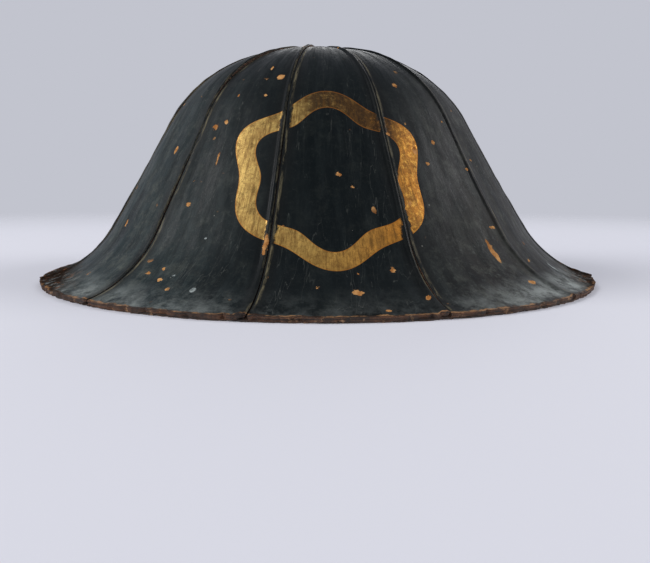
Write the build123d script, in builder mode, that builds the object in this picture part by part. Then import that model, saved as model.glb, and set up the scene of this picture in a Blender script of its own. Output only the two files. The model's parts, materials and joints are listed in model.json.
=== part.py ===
from build123d import *
import os
from math import asin, ceil, cos, degrees, radians, sin, tan

# A fireman's bell helmet of lacquered leather gores, with its liner and chin-cord rings.
# The helmet stands on its rim. Z is up through the crown and the front faces -Y.
# An azimuth is 0 at the front and grows towards +X.
os.makedirs("parts", exist_ok=True)

# Shell outline: a meridian climbs from the rim to the crown, and these are its rises and bends.
rim_radius = 180.0
rim_rise = 11.0
slope_foot_radius = 134.8
slope_rise = 60.0
slope_length = 75.0
shoulder_bend = 90.0
shoulder_rise = 38.5
upper_bend = 98.0
upper_rise = 15.0
chord_turn = 12.5

# Leather and its seams
gore_count = 12
wall = 2.6
seam_gap = 0.8
seat_gap = 0.2
edge_width = 3.4
edge_height = 1.3
edge_root = 0.8
seam_strip_angle = 5.0
seam_strip_thickness = 1.2
seam_strip_inset = 3.0

# Rim strips under the edge of the brim
rim_strip_count = 6
rim_strip_width = 13.0
rim_strip_thickness = 1.2
rim_strip_gap = 1.0
worn_land = 2.5

# Crown fastening
tip_clearance = 0.8
crown_knee_margin = 2.0
crown_cap_radius = 11.0
crown_cap_thickness = 0.8
crown_disc_radius = 22.0
crown_disc_thickness = 1.2
crown_burr_radius = 7.0
crown_burr_thickness = 0.8
burr_sides = 12
crown_rivet_radius = 2.4
crown_head_radius = 4.4
crown_head_height = 1.2
rivet_clearance = 0.3

# Liner, its band and its rivets
liner_thickness = 3.0
liner_start = 13.0
liner_eye_radius = 13.0
band_thickness = 1.8
band_start = 10.0
band_width = 42.0
rivet_inset = 5.0
rivet_radius = 1.3
rivet_head_radius = 3.2
rivet_head_height = 1.2
head_sides = 6
head_taper = 45.0
rivet_bite = 1.4

# Head roll, its straps and the crown pad
soft_gap = 0.3
roll_radius = 9.0
roll_sides = 8
strap_count = 6
strap_thickness = 1.3
strap_width = 15.0
strap_inset = 1.0
strap_seat = 0.4
strap_slack = 0.8
pad_radius = 36.0
pad_thickness = 11.0
pad_edge = 3.5

# Chin-cord rings and their split pins, with left and right as seen from the front
ring_azimuths = {"front_right": 60, "rear_right": 120, "rear_left": 240, "front_left": 300}
ring_wire = 2.5
wire_sides = 6
ring_opening = 14.0
ring_play = 0.5
pin_wire = 1.8
pin_place = 4.0
pin_shank_radius = 1.3
pin_bite = 1.6
rosette_radius = 5.5
rosette_thickness = 0.8
rosette_seat = 0.3
rosette_sides = 12


def heading(rise):
    """Direction up a meridian, as (radius, height), where it climbs at this rise."""
    return Vector(-cos(radians(rise)), sin(radians(rise)))


def outward(rise):
    """Direction off the outer face, as (radius, height), where it climbs at this rise."""
    return Vector(sin(radians(rise)), cos(radians(rise)))


def radial_plane(azimuth):
    """Upright plane through the axis, with the radius along its x and the height along its y."""
    direction = Vector(sin(radians(azimuth)), -cos(radians(azimuth)), 0)
    return Plane(origin=(0, 0, 0), x_dir=direction, z_dir=direction.cross(Vector(0, 0, 1)))


# Where each stretch of the outer meridian starts, as (radius, height)
gore_angle = 360 / gore_count
rim_stack = wall + seat_gap + rim_strip_thickness
rim_edge = Vector(rim_radius, rim_stack * cos(radians(rim_rise)) - worn_land * tan(radians(rim_rise)))
brim_bend = (rim_radius - slope_foot_radius) / (sin(radians(slope_rise)) - sin(radians(rim_rise)))
slope_foot = rim_edge + (outward(rim_rise) - outward(slope_rise)) * brim_bend
slope_head = slope_foot + heading(slope_rise) * slope_length
upper_foot = slope_head + (outward(shoulder_rise) - outward(slope_rise)) * shoulder_bend
crown_foot = upper_foot + (outward(upper_rise) - outward(shoulder_rise)) * upper_bend
crown_bend = crown_foot.X / sin(radians(upper_rise))
crown_height = crown_foot.Y + crown_bend * (1 - cos(radians(upper_rise)))
crown_knee_rise = degrees(asin((crown_disc_radius + crown_knee_margin) / crown_bend))

crown_hole_radius = crown_rivet_radius + tip_clearance

# Lifts of the layers off the outer face, from the wall inwards
seat_lift = -(wall + seat_gap)
liner_lift = seat_lift - seam_strip_thickness - seat_gap
band_lift = liner_lift - liner_thickness - seat_gap
band_face = band_lift - band_thickness
strap_lift = band_face - strap_seat
strap_face = strap_lift - strap_thickness
roll_lift = band_face - soft_gap - roll_radius
pad_lift = liner_lift - liner_thickness - soft_gap
burr_lift = seat_lift - crown_disc_thickness - seat_gap

# Places up the slope
roll_place = band_start + band_width / 2
rivet_places = (band_start + rivet_inset, band_start + band_width - rivet_inset)


def lifted(station, lift):
    """Point at this lift off a station, which is a point of the outer face with its rise."""
    point, rise = station
    return point + outward(rise) * lift


def bent(foot, foot_rise, head_rise, bend):
    """Stations up one bend of the outer face after its foot, a chord apart. A hollow bend is negative."""
    chords = ceil(abs(head_rise - foot_rise) / chord_turn)
    rises = [foot_rise + (head_rise - foot_rise) * chord / chords for chord in range(1, chords + 1)]
    centre = foot - outward(foot_rise) * bend
    return [(centre + outward(rise) * bend, rise) for rise in rises]


brim = [(rim_edge, rim_rise)] + bent(rim_edge, rim_rise, slope_rise, -brim_bend)
slope_end = (slope_head, slope_rise)
crown_start = (crown_foot, upper_rise)
shoulder = bent(slope_head, slope_rise, shoulder_rise, shoulder_bend)
upper = bent(upper_foot, shoulder_rise, upper_rise, upper_bend)
crown_knee = bent(crown_foot, upper_rise, crown_knee_rise, crown_bend)[-1]
body = [slope_end] + shoulder + upper + [crown_knee]
shell = brim + body


def crown_point(radius, lift):
    """Point at this radius and lift on the top of the crown, which is straight from its knee to the axis."""
    knee = lifted(crown_knee, lift)
    fall = (crown_height + lift - knee.Y) / knee.X
    return Vector(radius, crown_height + lift - fall * radius)


def on_slope(up, lift):
    """Point this far up the straight slope, lifted off its outer face."""
    return slope_foot + heading(slope_rise) * up + outward(slope_rise) * lift


def pair(point):
    """Radius and height of a point as a plain pair, which a line reads in its own plane."""
    return (point.X, point.Y)


def outline(plane, corners):
    """Section with these corners, in an upright plane through the axis."""
    with BuildSketch(plane) as section:
        with BuildLine():
            Polyline([pair(corner) for corner in corners], close=True)
        make_face()
    return section.sketch


def layer(azimuth, stations, outer_lift, inner_lift, hole_radius):
    """Section of one layer of the shell, through these stations to a hole at the crown."""
    outer = [lifted(station, outer_lift) for station in stations] + [crown_point(hole_radius, outer_lift)]
    inner = [lifted(station, inner_lift) for station in stations] + [crown_point(hole_radius, inner_lift)]
    return outline(radial_plane(azimuth), outer + inner[::-1])


def dished_disc(outer_lift, inner_lift, hole_radius, reach):
    """Section of a disc dished like the crown, from its hole to its edge."""
    corners = [crown_point(radius, outer_lift) for radius in (hole_radius, reach)]
    corners += [crown_point(radius, inner_lift) for radius in (reach, hole_radius)]
    return outline(radial_plane(0), corners)


def slope_place(azimuth, up, lift):
    """Plane on the slope whose z points inwards, square to the shell, and whose y climbs it."""
    plane = radial_plane(azimuth)
    origin = plane.from_local_coords(pair(on_slope(up, lift)))
    inward = plane.from_local_coords(pair(outward(slope_rise) * -1))
    return Plane(origin=origin, x_dir=plane.z_dir, z_dir=inward)


def punch(azimuth, up, lift, radius, depth):
    """Punch a six-sided hole for a shank, this deep both ways, into the open part."""
    with BuildSketch(slope_place(azimuth, up, lift)) as hole:
        RegularPolygon(radius + rivet_clearance, 6, major_radius=False)
    extrude(hole.sketch, amount=depth + rivet_clearance, both=True, mode=Mode.SUBTRACT)


def finish(part, name):
    """Label one piece and write it to its own file."""
    part.label = name
    export_step(part, f"parts/{name}.step")


def place(part, name, azimuth):
    """Write a copy of a piece turned from the front to its azimuth."""
    with BuildPart() as placed:
        add(part, rotation=(0, 0, azimuth))
    finish(placed.part, name)


# One gore: its wall, and a raised edge along each side that narrows towards the crown
seam_turn = degrees(seam_gap / rim_radius)
edge_turn = degrees(edge_width / rim_radius)
field_turn = gore_angle - seam_turn
with BuildPart() as gore:
    wall_section = layer(-field_turn / 2, shell, 0, -wall, crown_hole_radius)
    revolve(wall_section, axis=Axis.Z, revolution_arc=field_turn)
    for azimuth in (-field_turn / 2, field_turn / 2 - edge_turn):
        edge_section = layer(azimuth, shell, edge_height, -edge_root, crown_cap_radius + seat_gap)
        revolve(edge_section, axis=Axis.Z, revolution_arc=edge_turn)

# Gores that carry more: blind holes for the liner's rivets, or for the split pin of a ring
strap_azimuths = [(number + 0.5) * 360 / strap_count for number in range(strap_count)]
with BuildPart() as strap_gore:
    add(gore.part)
    for up in rivet_places:
        punch(0, up, -wall, rivet_radius, rivet_bite)
with BuildPart() as ring_gore:
    add(gore.part)
    punch(0, pin_place, -wall, pin_shank_radius, pin_bite)
for number in range(gore_count):
    azimuth = number * gore_angle
    if azimuth in strap_azimuths:
        form = strap_gore
    elif azimuth in ring_azimuths.values():
        form = ring_gore
    else:
        form = gore
    place(form.part, f"gore_{number + 1:02d}", azimuth)

# Strips of leather behind the seams, which taper like the gores towards the crown disc
strip_turn = degrees(rim_strip_width / (brim_bend - seat_lift))
inset_turn = degrees(seam_strip_inset / (brim_bend - seat_lift))
strip_foot = bent(rim_edge, rim_rise, rim_rise + strip_turn + inset_turn, -brim_bend)[-1]
strip_stations = [strip_foot] + [station for station in brim if station[1] > strip_foot[1]] + body
strip_face = seat_lift - seam_strip_thickness
strip_end = crown_disc_radius + seat_gap
with BuildPart() as seam_strip:
    section = layer(-seam_strip_angle / 2, strip_stations, seat_lift, strip_face, strip_end)
    revolve(section, axis=Axis.Z, revolution_arc=seam_strip_angle)
for number in range(gore_count):
    place(seam_strip.part, f"seam_strip_{number + 1:02d}", (number + 0.5) * gore_angle)

# Strips of leather under the edge of the brim, worn flat where the helmet stands
rim_strip_angle = 360 / rim_strip_count - degrees(rim_strip_gap / rim_radius)
strip_head = bent(rim_edge, rim_rise, rim_rise + strip_turn, -brim_bend)[-1]
with BuildPart() as rim_strip:
    with BuildSketch(radial_plane(-rim_strip_angle / 2)):
        with BuildLine():
            corners = [lifted(station, seat_lift) for station in (brim[0], strip_head)]
            corners += [lifted(station, -rim_stack) for station in (strip_head, brim[0])]
            Polyline([pair(corner) for corner in corners], close=True)
        make_face()
        with Locations((rim_radius, 0)):
            Rectangle(rim_radius, rim_radius, align=(Align.CENTER, Align.MAX), mode=Mode.SUBTRACT)
    revolve(axis=Axis.Z, revolution_arc=rim_strip_angle)
for number in range(rim_strip_count):
    place(rim_strip.part, f"rim_strip_{number + 1}", number * 360 / rim_strip_count)

# Crown fastening: an outer cap, an inner disc and a burr, drawn together by one rivet
rivet_hole = crown_rivet_radius + rivet_clearance
cap_lift = seat_gap + crown_cap_thickness
with BuildPart() as crown_cap:
    revolve(dished_disc(cap_lift, seat_gap, rivet_hole, crown_cap_radius), axis=Axis.Z)
finish(crown_cap.part, "crown_cap")
with BuildPart() as crown_disc:
    section = dished_disc(seat_lift, seat_lift - crown_disc_thickness, rivet_hole, crown_disc_radius)
    revolve(section, axis=Axis.Z)
finish(crown_disc.part, "crown_disc")
with BuildPart() as crown_burr:
    burr_seat = crown_point(crown_burr_radius, burr_lift).Y
    with BuildSketch(Plane.XY.offset(burr_seat)):
        RegularPolygon(crown_burr_radius, burr_sides)
        RegularPolygon(rivet_hole, burr_sides, mode=Mode.SUBTRACT)
    extrude(amount=-crown_burr_thickness)
finish(crown_burr.part, "crown_burr")
with BuildPart() as crown_rivet:
    head_seat = crown_height + cap_lift
    tail_seat = burr_seat - crown_burr_thickness - seat_gap
    with BuildSketch(Plane.XY.offset(tail_seat)):
        RegularPolygon(crown_rivet_radius, head_sides)
    extrude(amount=head_seat - tail_seat)
    for seat, side in ((head_seat, 1), (tail_seat, -1)):
        with BuildSketch(Plane(origin=(0, 0, seat), z_dir=(0, 0, side))):
            RegularPolygon(crown_head_radius, head_sides)
        extrude(amount=crown_head_height, taper=head_taper)
finish(crown_rivet.part, "crown_rivet")

# Quilted liner under the crown, in fewer and longer chords than the shell
liner_stations = [(on_slope(liner_start, 0), slope_rise), slope_end, shoulder[-1], crown_start]
with BuildPart() as liner:
    section = layer(0, liner_stations, liner_lift, liner_lift - liner_thickness, liner_eye_radius)
    revolve(section, axis=Axis.Z)
    for azimuth in strap_azimuths:
        for up in rivet_places:
            punch(azimuth, up, liner_lift, rivet_radius, liner_thickness)
finish(liner.part, "liner")

# Leather band that holds the liner's hem
with BuildPart() as liner_band:
    band_end = band_start + band_width
    corners = [on_slope(up, band_lift) for up in (band_start, band_end)]
    corners += [on_slope(up, band_face) for up in (band_end, band_start)]
    revolve(outline(radial_plane(0), corners), axis=Axis.Z)
    for azimuth in strap_azimuths:
        for up in rivet_places:
            punch(azimuth, up, band_lift, rivet_radius, band_thickness)
finish(liner_band.part, "liner_band")

# Straps that fold round the flats of the head roll, with both ends riveted to the band
flat_turn = radians(360 / roll_sides)
roll_height = strap_lift - roll_lift
strap_reach = band_width / 2 - strap_inset


def strap_corners(height):
    """Corners of the strap's face at this height off the band, from its lower to its upper end."""
    reach = roll_radius + strap_slack + height
    foot = (reach - (roll_height - height) * cos(flat_turn)) / sin(flat_turn)
    corner_radius = reach / cos(flat_turn / 2)
    turns = [(corner + 0.5) * flat_turn for corner in range(1, roll_sides - 1)]
    loop = [(-corner_radius * sin(turn), roll_height - corner_radius * cos(turn)) for turn in turns]
    return [(-strap_reach, height), (-foot, height)] + loop + [(foot, height), (strap_reach, height)]


with BuildPart() as roll_strap:
    base = slope_place(0, roll_place, strap_lift)
    with BuildSketch(Plane(origin=base.origin, x_dir=base.y_dir, z_dir=base.x_dir)):
        with BuildLine():
            Polyline(strap_corners(0) + strap_corners(strap_thickness)[::-1], close=True)
        make_face()
    extrude(amount=strap_width / 2, both=True)
    for up in rivet_places:
        punch(0, up, strap_lift, rivet_radius, strap_thickness)
for number, azimuth in enumerate(strap_azimuths):
    place(roll_strap.part, f"roll_strap_{number + 1}", azimuth)

# Rivets through the straps, the band and the liner, with their tips in the gores
head_lift = strap_face - seat_gap
with BuildPart() as liner_rivets:
    for azimuth in strap_azimuths:
        for up in rivet_places:
            with BuildSketch(slope_place(azimuth, up, head_lift)) as shank:
                RegularPolygon(rivet_radius, head_sides)
            extrude(shank.sketch, amount=head_lift + wall - rivet_bite)
            with BuildSketch(slope_place(azimuth, up, head_lift)) as head:
                RegularPolygon(rivet_head_radius, head_sides)
            extrude(head.sketch, amount=rivet_head_height, taper=head_taper)
finish(liner_rivets.part, "liner_rivets")

# Head roll, a stuffed ring inside the straps, with one flat against the band
roll_turn = 90 - slope_rise + 180 / roll_sides
with BuildPart() as head_roll:
    with BuildSketch(radial_plane(0)):
        with Locations(pair(on_slope(roll_place, roll_lift))):
            RegularPolygon(roll_radius, roll_sides, major_radius=False, rotation=roll_turn)
    revolve(axis=Axis.Z)
finish(head_roll.part, "head_roll")

# Crown pad, a round cushion under the top of the liner
with BuildPart() as crown_pad:
    eye_edge = crown_point(liner_eye_radius, pad_lift)
    pad_fall = (eye_edge - lifted(crown_start, pad_lift)).Y / (lifted(crown_start, pad_lift) - eye_edge).X
    pad_corner = eye_edge + Vector(1, -pad_fall) * (pad_radius - liner_eye_radius)
    pad_top = crown_point(0, pad_lift)
    corners = [pad_top, eye_edge, pad_corner, pad_corner - Vector(0, pad_edge)]
    corners += [Vector(pad_radius / 2, pad_top.Y - pad_thickness), pad_top - Vector(0, pad_thickness)]
    revolve(outline(radial_plane(0), corners), axis=Axis.Z)
finish(crown_pad.part, "crown_pad")

# Chin-cord rings, each hanging free in the eye of a split pin that stands on a rosette
eye_radius = ring_wire / 2 + ring_play + pin_wire / 2
ring_radius = (ring_opening + ring_wire) / 2
rosette_lift = -wall - rosette_seat
eye_lift = rosette_lift - rosette_thickness - eye_radius - pin_wire / 2
with BuildPart() as ring_rosette:
    with BuildSketch(slope_place(0, pin_place, rosette_lift)):
        RegularPolygon(rosette_radius, rosette_sides)
        RegularPolygon(pin_shank_radius + rivet_clearance, 6, major_radius=False, mode=Mode.SUBTRACT)
    extrude(amount=rosette_thickness)
with BuildPart() as ring_pin:
    eye_place = slope_place(0, pin_place, eye_lift)
    with BuildSketch(Plane(origin=eye_place.origin, x_dir=eye_place.y_dir, z_dir=eye_place.x_dir)):
        RegularPolygon(eye_radius + pin_wire / 2, rosette_sides)
        Circle(eye_radius - pin_wire / 2, mode=Mode.SUBTRACT)
    extrude(amount=pin_wire / 2, both=True)
    with BuildSketch(slope_place(0, pin_place, eye_lift + eye_radius)):
        RegularPolygon(pin_shank_radius, head_sides)
    extrude(amount=-(pin_bite - wall - eye_lift - eye_radius))
with BuildPart() as cord_ring:
    hang = eye_place.origin - Vector(0, 0, ring_radius)
    with BuildSketch(Plane(origin=hang, x_dir=(1, 0, 0), z_dir=(0, 0, 1))):
        with Locations((ring_radius, 0)):
            RegularPolygon(ring_wire / 2, wire_sides)
    revolve(axis=Axis(hang, (0, 1, 0)))
for corner, azimuth in ring_azimuths.items():
    place(ring_rosette.part, f"ring_rosette_{corner}", azimuth)
    place(ring_pin.part, f"ring_pin_{corner}", azimuth)
    place(cord_ring.part, f"cord_ring_{corner}", azimuth)
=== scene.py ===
import json
from math import asin, cos, pi, radians, sin, sqrt

import bpy
import numpy as np
from mathutils import Matrix, Vector, noise


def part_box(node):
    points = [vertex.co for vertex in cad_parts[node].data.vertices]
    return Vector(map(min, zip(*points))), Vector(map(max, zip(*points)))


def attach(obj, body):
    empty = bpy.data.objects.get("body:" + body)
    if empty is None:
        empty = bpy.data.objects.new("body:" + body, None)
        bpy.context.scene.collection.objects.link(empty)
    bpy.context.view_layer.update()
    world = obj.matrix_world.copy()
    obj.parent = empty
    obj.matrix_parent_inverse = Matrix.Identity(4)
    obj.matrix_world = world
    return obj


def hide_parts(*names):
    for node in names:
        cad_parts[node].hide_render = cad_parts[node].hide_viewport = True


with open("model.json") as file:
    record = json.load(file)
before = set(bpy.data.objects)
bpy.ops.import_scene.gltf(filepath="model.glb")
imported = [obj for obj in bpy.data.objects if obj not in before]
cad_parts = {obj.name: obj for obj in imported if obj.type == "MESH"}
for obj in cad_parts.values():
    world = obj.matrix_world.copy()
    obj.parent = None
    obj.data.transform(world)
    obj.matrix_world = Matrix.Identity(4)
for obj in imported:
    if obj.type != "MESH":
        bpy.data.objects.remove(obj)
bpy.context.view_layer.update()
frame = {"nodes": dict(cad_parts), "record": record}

bl_info = {
    "name": "Lacquered fireman's helmet",
    "version": (1, 0, 0),
    "blender": (4, 5, 0),
    "location": "View3D > Sidebar > Helmet",
    "description": "Dresses a fireman's bell helmet of lacquered leather gores",
    "category": "Object",
}

MM = 0.001

# How steeply the shell's outline climbs at the rim, on the straight slope and over the two upper bends
RIM_RISE, SLOPE_RISE, SHOULDER_RISE, UPPER_RISE = radians(11), radians(60), radians(38.5), radians(15)
# Thicknesses of the leather layers under the wall, and the gap between one layer and the next
STRIP_THICKNESS, BAND_THICKNESS, STRAP_THICKNESS, SEAT = 1.2 * MM, 1.8 * MM, 1.3 * MM, 0.2 * MM
# Places up the slope from its foot: the band's hem, the cord rings' pins and the two rows of rivets
BAND_FOOT, PIN_UP, RIVET_ROWS = 10 * MM, 4 * MM, (15 * MM, 47 * MM)
STRAP_COUNT = RIM_STRIP_COUNT = 6
# The cord rings' corners, with how many degrees each is turned from the front
CORNERS = {"front_right": 60, "rear_right": 120, "rear_left": 240, "front_left": 300}
# A middle radius of the shell, at which turns are measured in metres for the lacquer's pattern
LAY_RADIUS = 150 * MM


# ---------------------------------------------------------------- sizes and colours

def linear(hex_colour):
    """An sRGB hex value as a linear colour with alpha."""
    parts = [int(hex_colour[place:place + 2], 16) / 255 for place in (1, 3, 5)]
    return [part / 12.92 if part <= 0.04045 else ((part + 0.055) / 1.055) ** 2.4 for part in parts] + [1]


def length(name, description, default):
    """A size in metres."""
    return bpy.props.FloatProperty(name=name, description=description, default=default, unit="LENGTH")


def tint(name, description, hex_colour):
    """A colour, given as an sRGB hex value."""
    return bpy.props.FloatVectorProperty(
        name=name, description=description, size=4, min=0, max=1, subtype="COLOR", default=linear(hex_colour))


class HelmetShell(bpy.types.PropertyGroup):
    """Sizes of the gored shell, the same as the CAD shell's."""
    rim_radius: length("Rim radius", "Outer radius of the brim", 180 * MM)
    slope_foot_radius: length("Slope foot", "Radius where the flare turns into the slope", 134.8 * MM)
    slope_length: length("Slope length", "Length of the straight slope", 75 * MM)
    shoulder_bend: length("Shoulder bend", "Bend radius over the slope", 90 * MM)
    upper_bend: length("Upper bend", "Bend radius under the crown", 98 * MM)
    wall: length("Leather", "Thickness of a gore", 2.6 * MM)
    gore_count: bpy.props.IntProperty(name="Gores", description="Gores round the shell", default=12)
    seam_gap: length("Seam gap", "Crack between two gores at the rim", 0.8 * MM)
    welt_width: length("Welt width", "Width of the raised edge of a gore", 3.4 * MM)
    welt_height: length("Welt height", "Height of the raised edge of a gore", 1.25 * MM)
    dent_depth: length("Dents", "Depth of the hand-shaped hollows", 0.7 * MM)


class HelmetLining(bpy.types.PropertyGroup):
    """Sizes of the soft goods and straps inside the shell."""
    liner_thickness: length("Liner", "Thickness of the quilted liner", 3.0 * MM)
    quilt_spacing: length("Quilt rows", "Distance between rows of quilting", 17 * MM)
    band_width: length("Band width", "Width of the leather liner band", 42 * MM)
    roll_radius: length("Roll radius", "Radius of the stuffed head roll", 9 * MM)
    strap_width: length("Strap width", "Width of the straps round the roll", 15 * MM)
    pad_radius: length("Pad radius", "Radius of the crown pad", 36 * MM)


class HelmetColours(bpy.types.PropertyGroup):
    """Colours of the finishes."""
    lacquer: tint("Lacquer", "Black-green lacquer on the left", "#182527")
    # This near black is painted shade where it is used at the front and the crown; in the fine grime it is
    # the lacquer's own dark
    lacquer_deep: tint("Deep lacquer", "Unworn lacquer at the front", "#030A0C")
    lacquer_brown: tint("Brown lacquer", "Browned lacquer on the right", "#181513")
    chip: tint("Chips", "Rawhide where the lacquer is gone", "#C6955E")
    gilding: tint("Gilding", "Gold leaf", "#C5A560")
    tarnish: tint("Tarnish", "Gold leaf where it is brown with age", "#6B4520")
    dust: tint("Dust", "Pale haze near the rim", "#A2A8A5")
    indigo: tint("Indigo", "Dyed hemp", "#2A3A55")


# ---------------------------------------------------------------- the shell's outline

class Meridian:
    """The outer face from the rim up to the crown. Each layer of the helmet follows it at its own lift."""

    def __init__(self, shell, lining):
        reach = shell.rim_radius - shell.slope_foot_radius
        brim = reach / (sin(SLOPE_RISE) - sin(RIM_RISE)) * (SLOPE_RISE - RIM_RISE)
        shoulder = shell.shoulder_bend * (SLOPE_RISE - SHOULDER_RISE)
        upper = shell.upper_bend * (SHOULDER_RISE - UPPER_RISE)
        crown_foot = shell.slope_foot_radius - shell.slope_length * cos(SLOPE_RISE)
        crown_foot -= shell.shoulder_bend * (sin(SLOPE_RISE) - sin(SHOULDER_RISE))
        crown_foot -= shell.upper_bend * (sin(SHOULDER_RISE) - sin(UPPER_RISE))
        crown = crown_foot / sin(UPPER_RISE) * UPPER_RISE
        self.slope_foot = brim
        stretches = np.cumsum([0, brim, shell.slope_length, shoulder, upper, crown])
        self.ups = np.linspace(0, stretches[-1], 1200)
        rises = [RIM_RISE, SLOPE_RISE, SLOPE_RISE, SHOULDER_RISE, UPPER_RISE, 0]
        self.rises = np.interp(self.ups, stretches, rises)
        step = self.ups[1]
        rises = (self.rises[1:] + self.rises[:-1]) / 2
        rim_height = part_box("gore_01")[0].z + shell.wall * cos(RIM_RISE)
        self.radii = shell.rim_radius - np.concatenate([[0], np.cumsum(np.cos(rises) * step)])
        self.heights = rim_height + np.concatenate([[0], np.cumsum(np.sin(rises) * step)])
        self.lifts = layer_lifts(shell, lining)

    def place(self, up, turn, lift):
        """Points this far up the meridian, turned from the front and lifted off the outer face."""
        rise = np.interp(up, self.ups, self.rises)
        radius = np.interp(up, self.ups, self.radii) + np.sin(rise) * lift
        height = np.interp(up, self.ups, self.heights) + np.cos(rise) * lift
        return np.stack([radius * np.sin(turn), -radius * np.cos(turn), height + 0 * radius], axis=-1)

    def line(self, ups, turn, lift):
        """The places of several points of one meridian."""
        return [Vector(self.place(up, turn, lift)) for up in ups]

    def up_at_height(self, height):
        """How far up the meridian this height is reached."""
        return np.interp(height, self.heights, self.ups)

    def up_at_radius(self, radius):
        """How far up the meridian this radius is reached."""
        return np.interp(-radius, -self.radii, self.ups)

    def frame_on(self, up, turn, lift):
        """Matrix of a place on the shell: x runs back round it, y climbs it and z points inwards."""
        rise = np.interp(up, self.ups, self.rises)
        out = Vector((sin(turn), -cos(turn), 0))
        round_it = Vector((-cos(turn), -sin(turn), 0))
        climb = -out * cos(rise) + Vector((0, 0, sin(rise)))
        inward = round_it.cross(climb)
        matrix = Matrix((round_it, climb, inward)).transposed().to_4x4()
        matrix.translation = Vector(self.place(up, turn, lift))
        return matrix


def layer_lifts(shell, lining):
    """Lifts of the layers under the wall, from the seam strips inwards."""
    lifts = {"strip": -(shell.wall + SEAT)}
    lifts["liner"] = lifts["strip"] - STRIP_THICKNESS - SEAT
    lifts["band"] = lifts["liner"] - lining.liner_thickness - SEAT
    lifts["band_face"] = lifts["band"] - BAND_THICKNESS
    lifts["roll"] = lifts["band_face"] - 0.3 * MM - lining.roll_radius
    lifts["strap"] = lifts["band_face"] - 0.4 * MM
    # The cushion's swelling takes up the last of this gap
    lifts["pad"] = lifts["liner"] - lining.liner_thickness - 1 * MM
    return lifts


def sizes(context):
    """The sizes of the shell and of its lining, and the meridian that they give."""
    shell, lining = context.scene.helmet_shell, context.scene.helmet_lining
    return shell, lining, Meridian(shell, lining)


# ---------------------------------------------------------------- modelling

def take(*pieces):
    """Selects these pieces alone and makes the first one active."""
    bpy.ops.object.select_all(action="DESELECT")
    for piece in pieces:
        piece.select_set(True)
    bpy.context.view_layer.objects.active = pieces[0]


def called(piece, name):
    """Names a piece and its mesh."""
    piece.name = name
    piece.data.name = name
    return piece


def added(name, primitive, **settings):
    """Adds a primitive with nothing else selected."""
    bpy.ops.object.select_all(action="DESELECT")
    primitive(**settings)
    return called(bpy.context.active_object, name)


def drawn_line(name, points):
    """A chain of edges through these points, drawn by extruding from one vertex. It stays in edit mode."""
    piece = added(name, bpy.ops.mesh.primitive_plane_add, size=MM, location=(0, 0, 0))
    bpy.ops.object.mode_set(mode="EDIT")
    bpy.ops.mesh.select_all(action="SELECT")
    bpy.ops.mesh.merge(type="CENTER")
    bpy.ops.transform.translate(value=points[0])
    for start, end in zip(points, points[1:]):
        move = {"value": Vector(end) - Vector(start)}
        bpy.ops.mesh.extrude_region_move(TRANSFORM_OT_translate=move)
    bpy.ops.mesh.select_all(action="SELECT")
    return piece


def spun(name, points, angle, steps):
    """A surface made by turning a drawn line about the upright axis, facing away from it and up."""
    piece = drawn_line(name, points)
    bpy.ops.mesh.spin(steps=steps, angle=-angle, center=(0, 0, 0), axis=(0, 0, 1))
    bpy.ops.mesh.select_all(action="SELECT")
    bpy.ops.mesh.remove_doubles(threshold=0.005 * MM)
    bpy.ops.mesh.normals_make_consistent(inside=False)
    bpy.ops.object.mode_set(mode="OBJECT")
    score = 0
    for face in piece.data.polygons:
        away = Vector((face.center.x, face.center.y, abs(face.center.z) * 0.4 + 20 * MM))
        score += face.normal.dot(away) * face.area
    if score < 0:
        piece.data.flip_normals()
    return piece


def turned(name, outline, steps, height=0):
    """A small closed part turned on a lathe. Its outline gives radii and heights in millimetres."""
    line = [Vector((radius * MM, 0, height + rise * MM)) for radius, rise in outline]
    piece = spun(name, line, 2 * pi, steps)
    smooth(piece)
    return piece


def corners_of(piece):
    """The piece's vertices as rows of x, y and z."""
    places = np.empty(len(piece.data.vertices) * 3)
    piece.data.vertices.foreach_get("co", places)
    return places.reshape(-1, 3)


def move_corners(piece, places):
    """Moves the piece's vertices to these rows."""
    piece.data.vertices.foreach_set("co", np.asarray(places, float).ravel())
    piece.data.update()


def round_axis(places):
    """How far places are turned from the front, and their distance from the upright axis."""
    return np.arctan2(places[:, 0], -places[:, 1]), np.hypot(places[:, 0], places[:, 1])


def modify(piece, kind, **settings):
    """Adds a modifier with its settings and applies it."""
    take(piece)
    bpy.ops.object.modifier_add(type=kind)
    modifier = piece.modifiers[-1]
    for name, value in settings.items():
        setattr(modifier, name, value)
    bpy.ops.object.modifier_apply(modifier=modifier.name)


def copy_of(piece, name, matrix=None):
    """A copy of a piece with its own mesh, moved in its mesh by a matrix."""
    copy = piece.copy()
    copy.data = piece.data.copy()
    bpy.context.collection.objects.link(copy)
    if matrix is not None:
        copy.data.transform(matrix)
        copy.data.update()
    return called(copy, name)


def delete(piece):
    """Removes a blank, with its mesh."""
    bpy.data.meshes.remove(piece.data)


def joined(pieces, name):
    """Several pieces joined into one."""
    take(*pieces)
    bpy.ops.object.join()
    return called(pieces[0], name)


def smooth(piece, angle=radians(40)):
    """Shades a piece smooth where its faces meet at less than this angle."""
    take(piece)
    bpy.ops.object.shade_smooth_by_angle(angle=angle)


def finished(piece, body, slot, finishes, *replaced):
    """Gives a piece its finishes and body, and hides the CAD nodes that it stands for. The slot is not used.
    """
    for place, finish in enumerate(finishes):
        if place < len(piece.data.materials):
            piece.data.materials[place] = material(finish)
        else:
            piece.data.materials.append(material(finish))
    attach(piece, body)
    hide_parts(*replaced)


def ease(value, low, high):
    """Smooth step from 0 at low to 1 at high."""
    share = np.clip((value - low) / (high - low), 0, 1)
    return share * share * (3 - 2 * share)


def wander(points, size, seed):
    """Smooth noise from -1 to 1 at each point, with features of this size."""
    offset = Vector((seed * 3.17, seed * 1.31, seed * 7.73))
    return np.array([noise.noise(Vector(point) / size + offset) for point in points]) * 1.6


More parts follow.
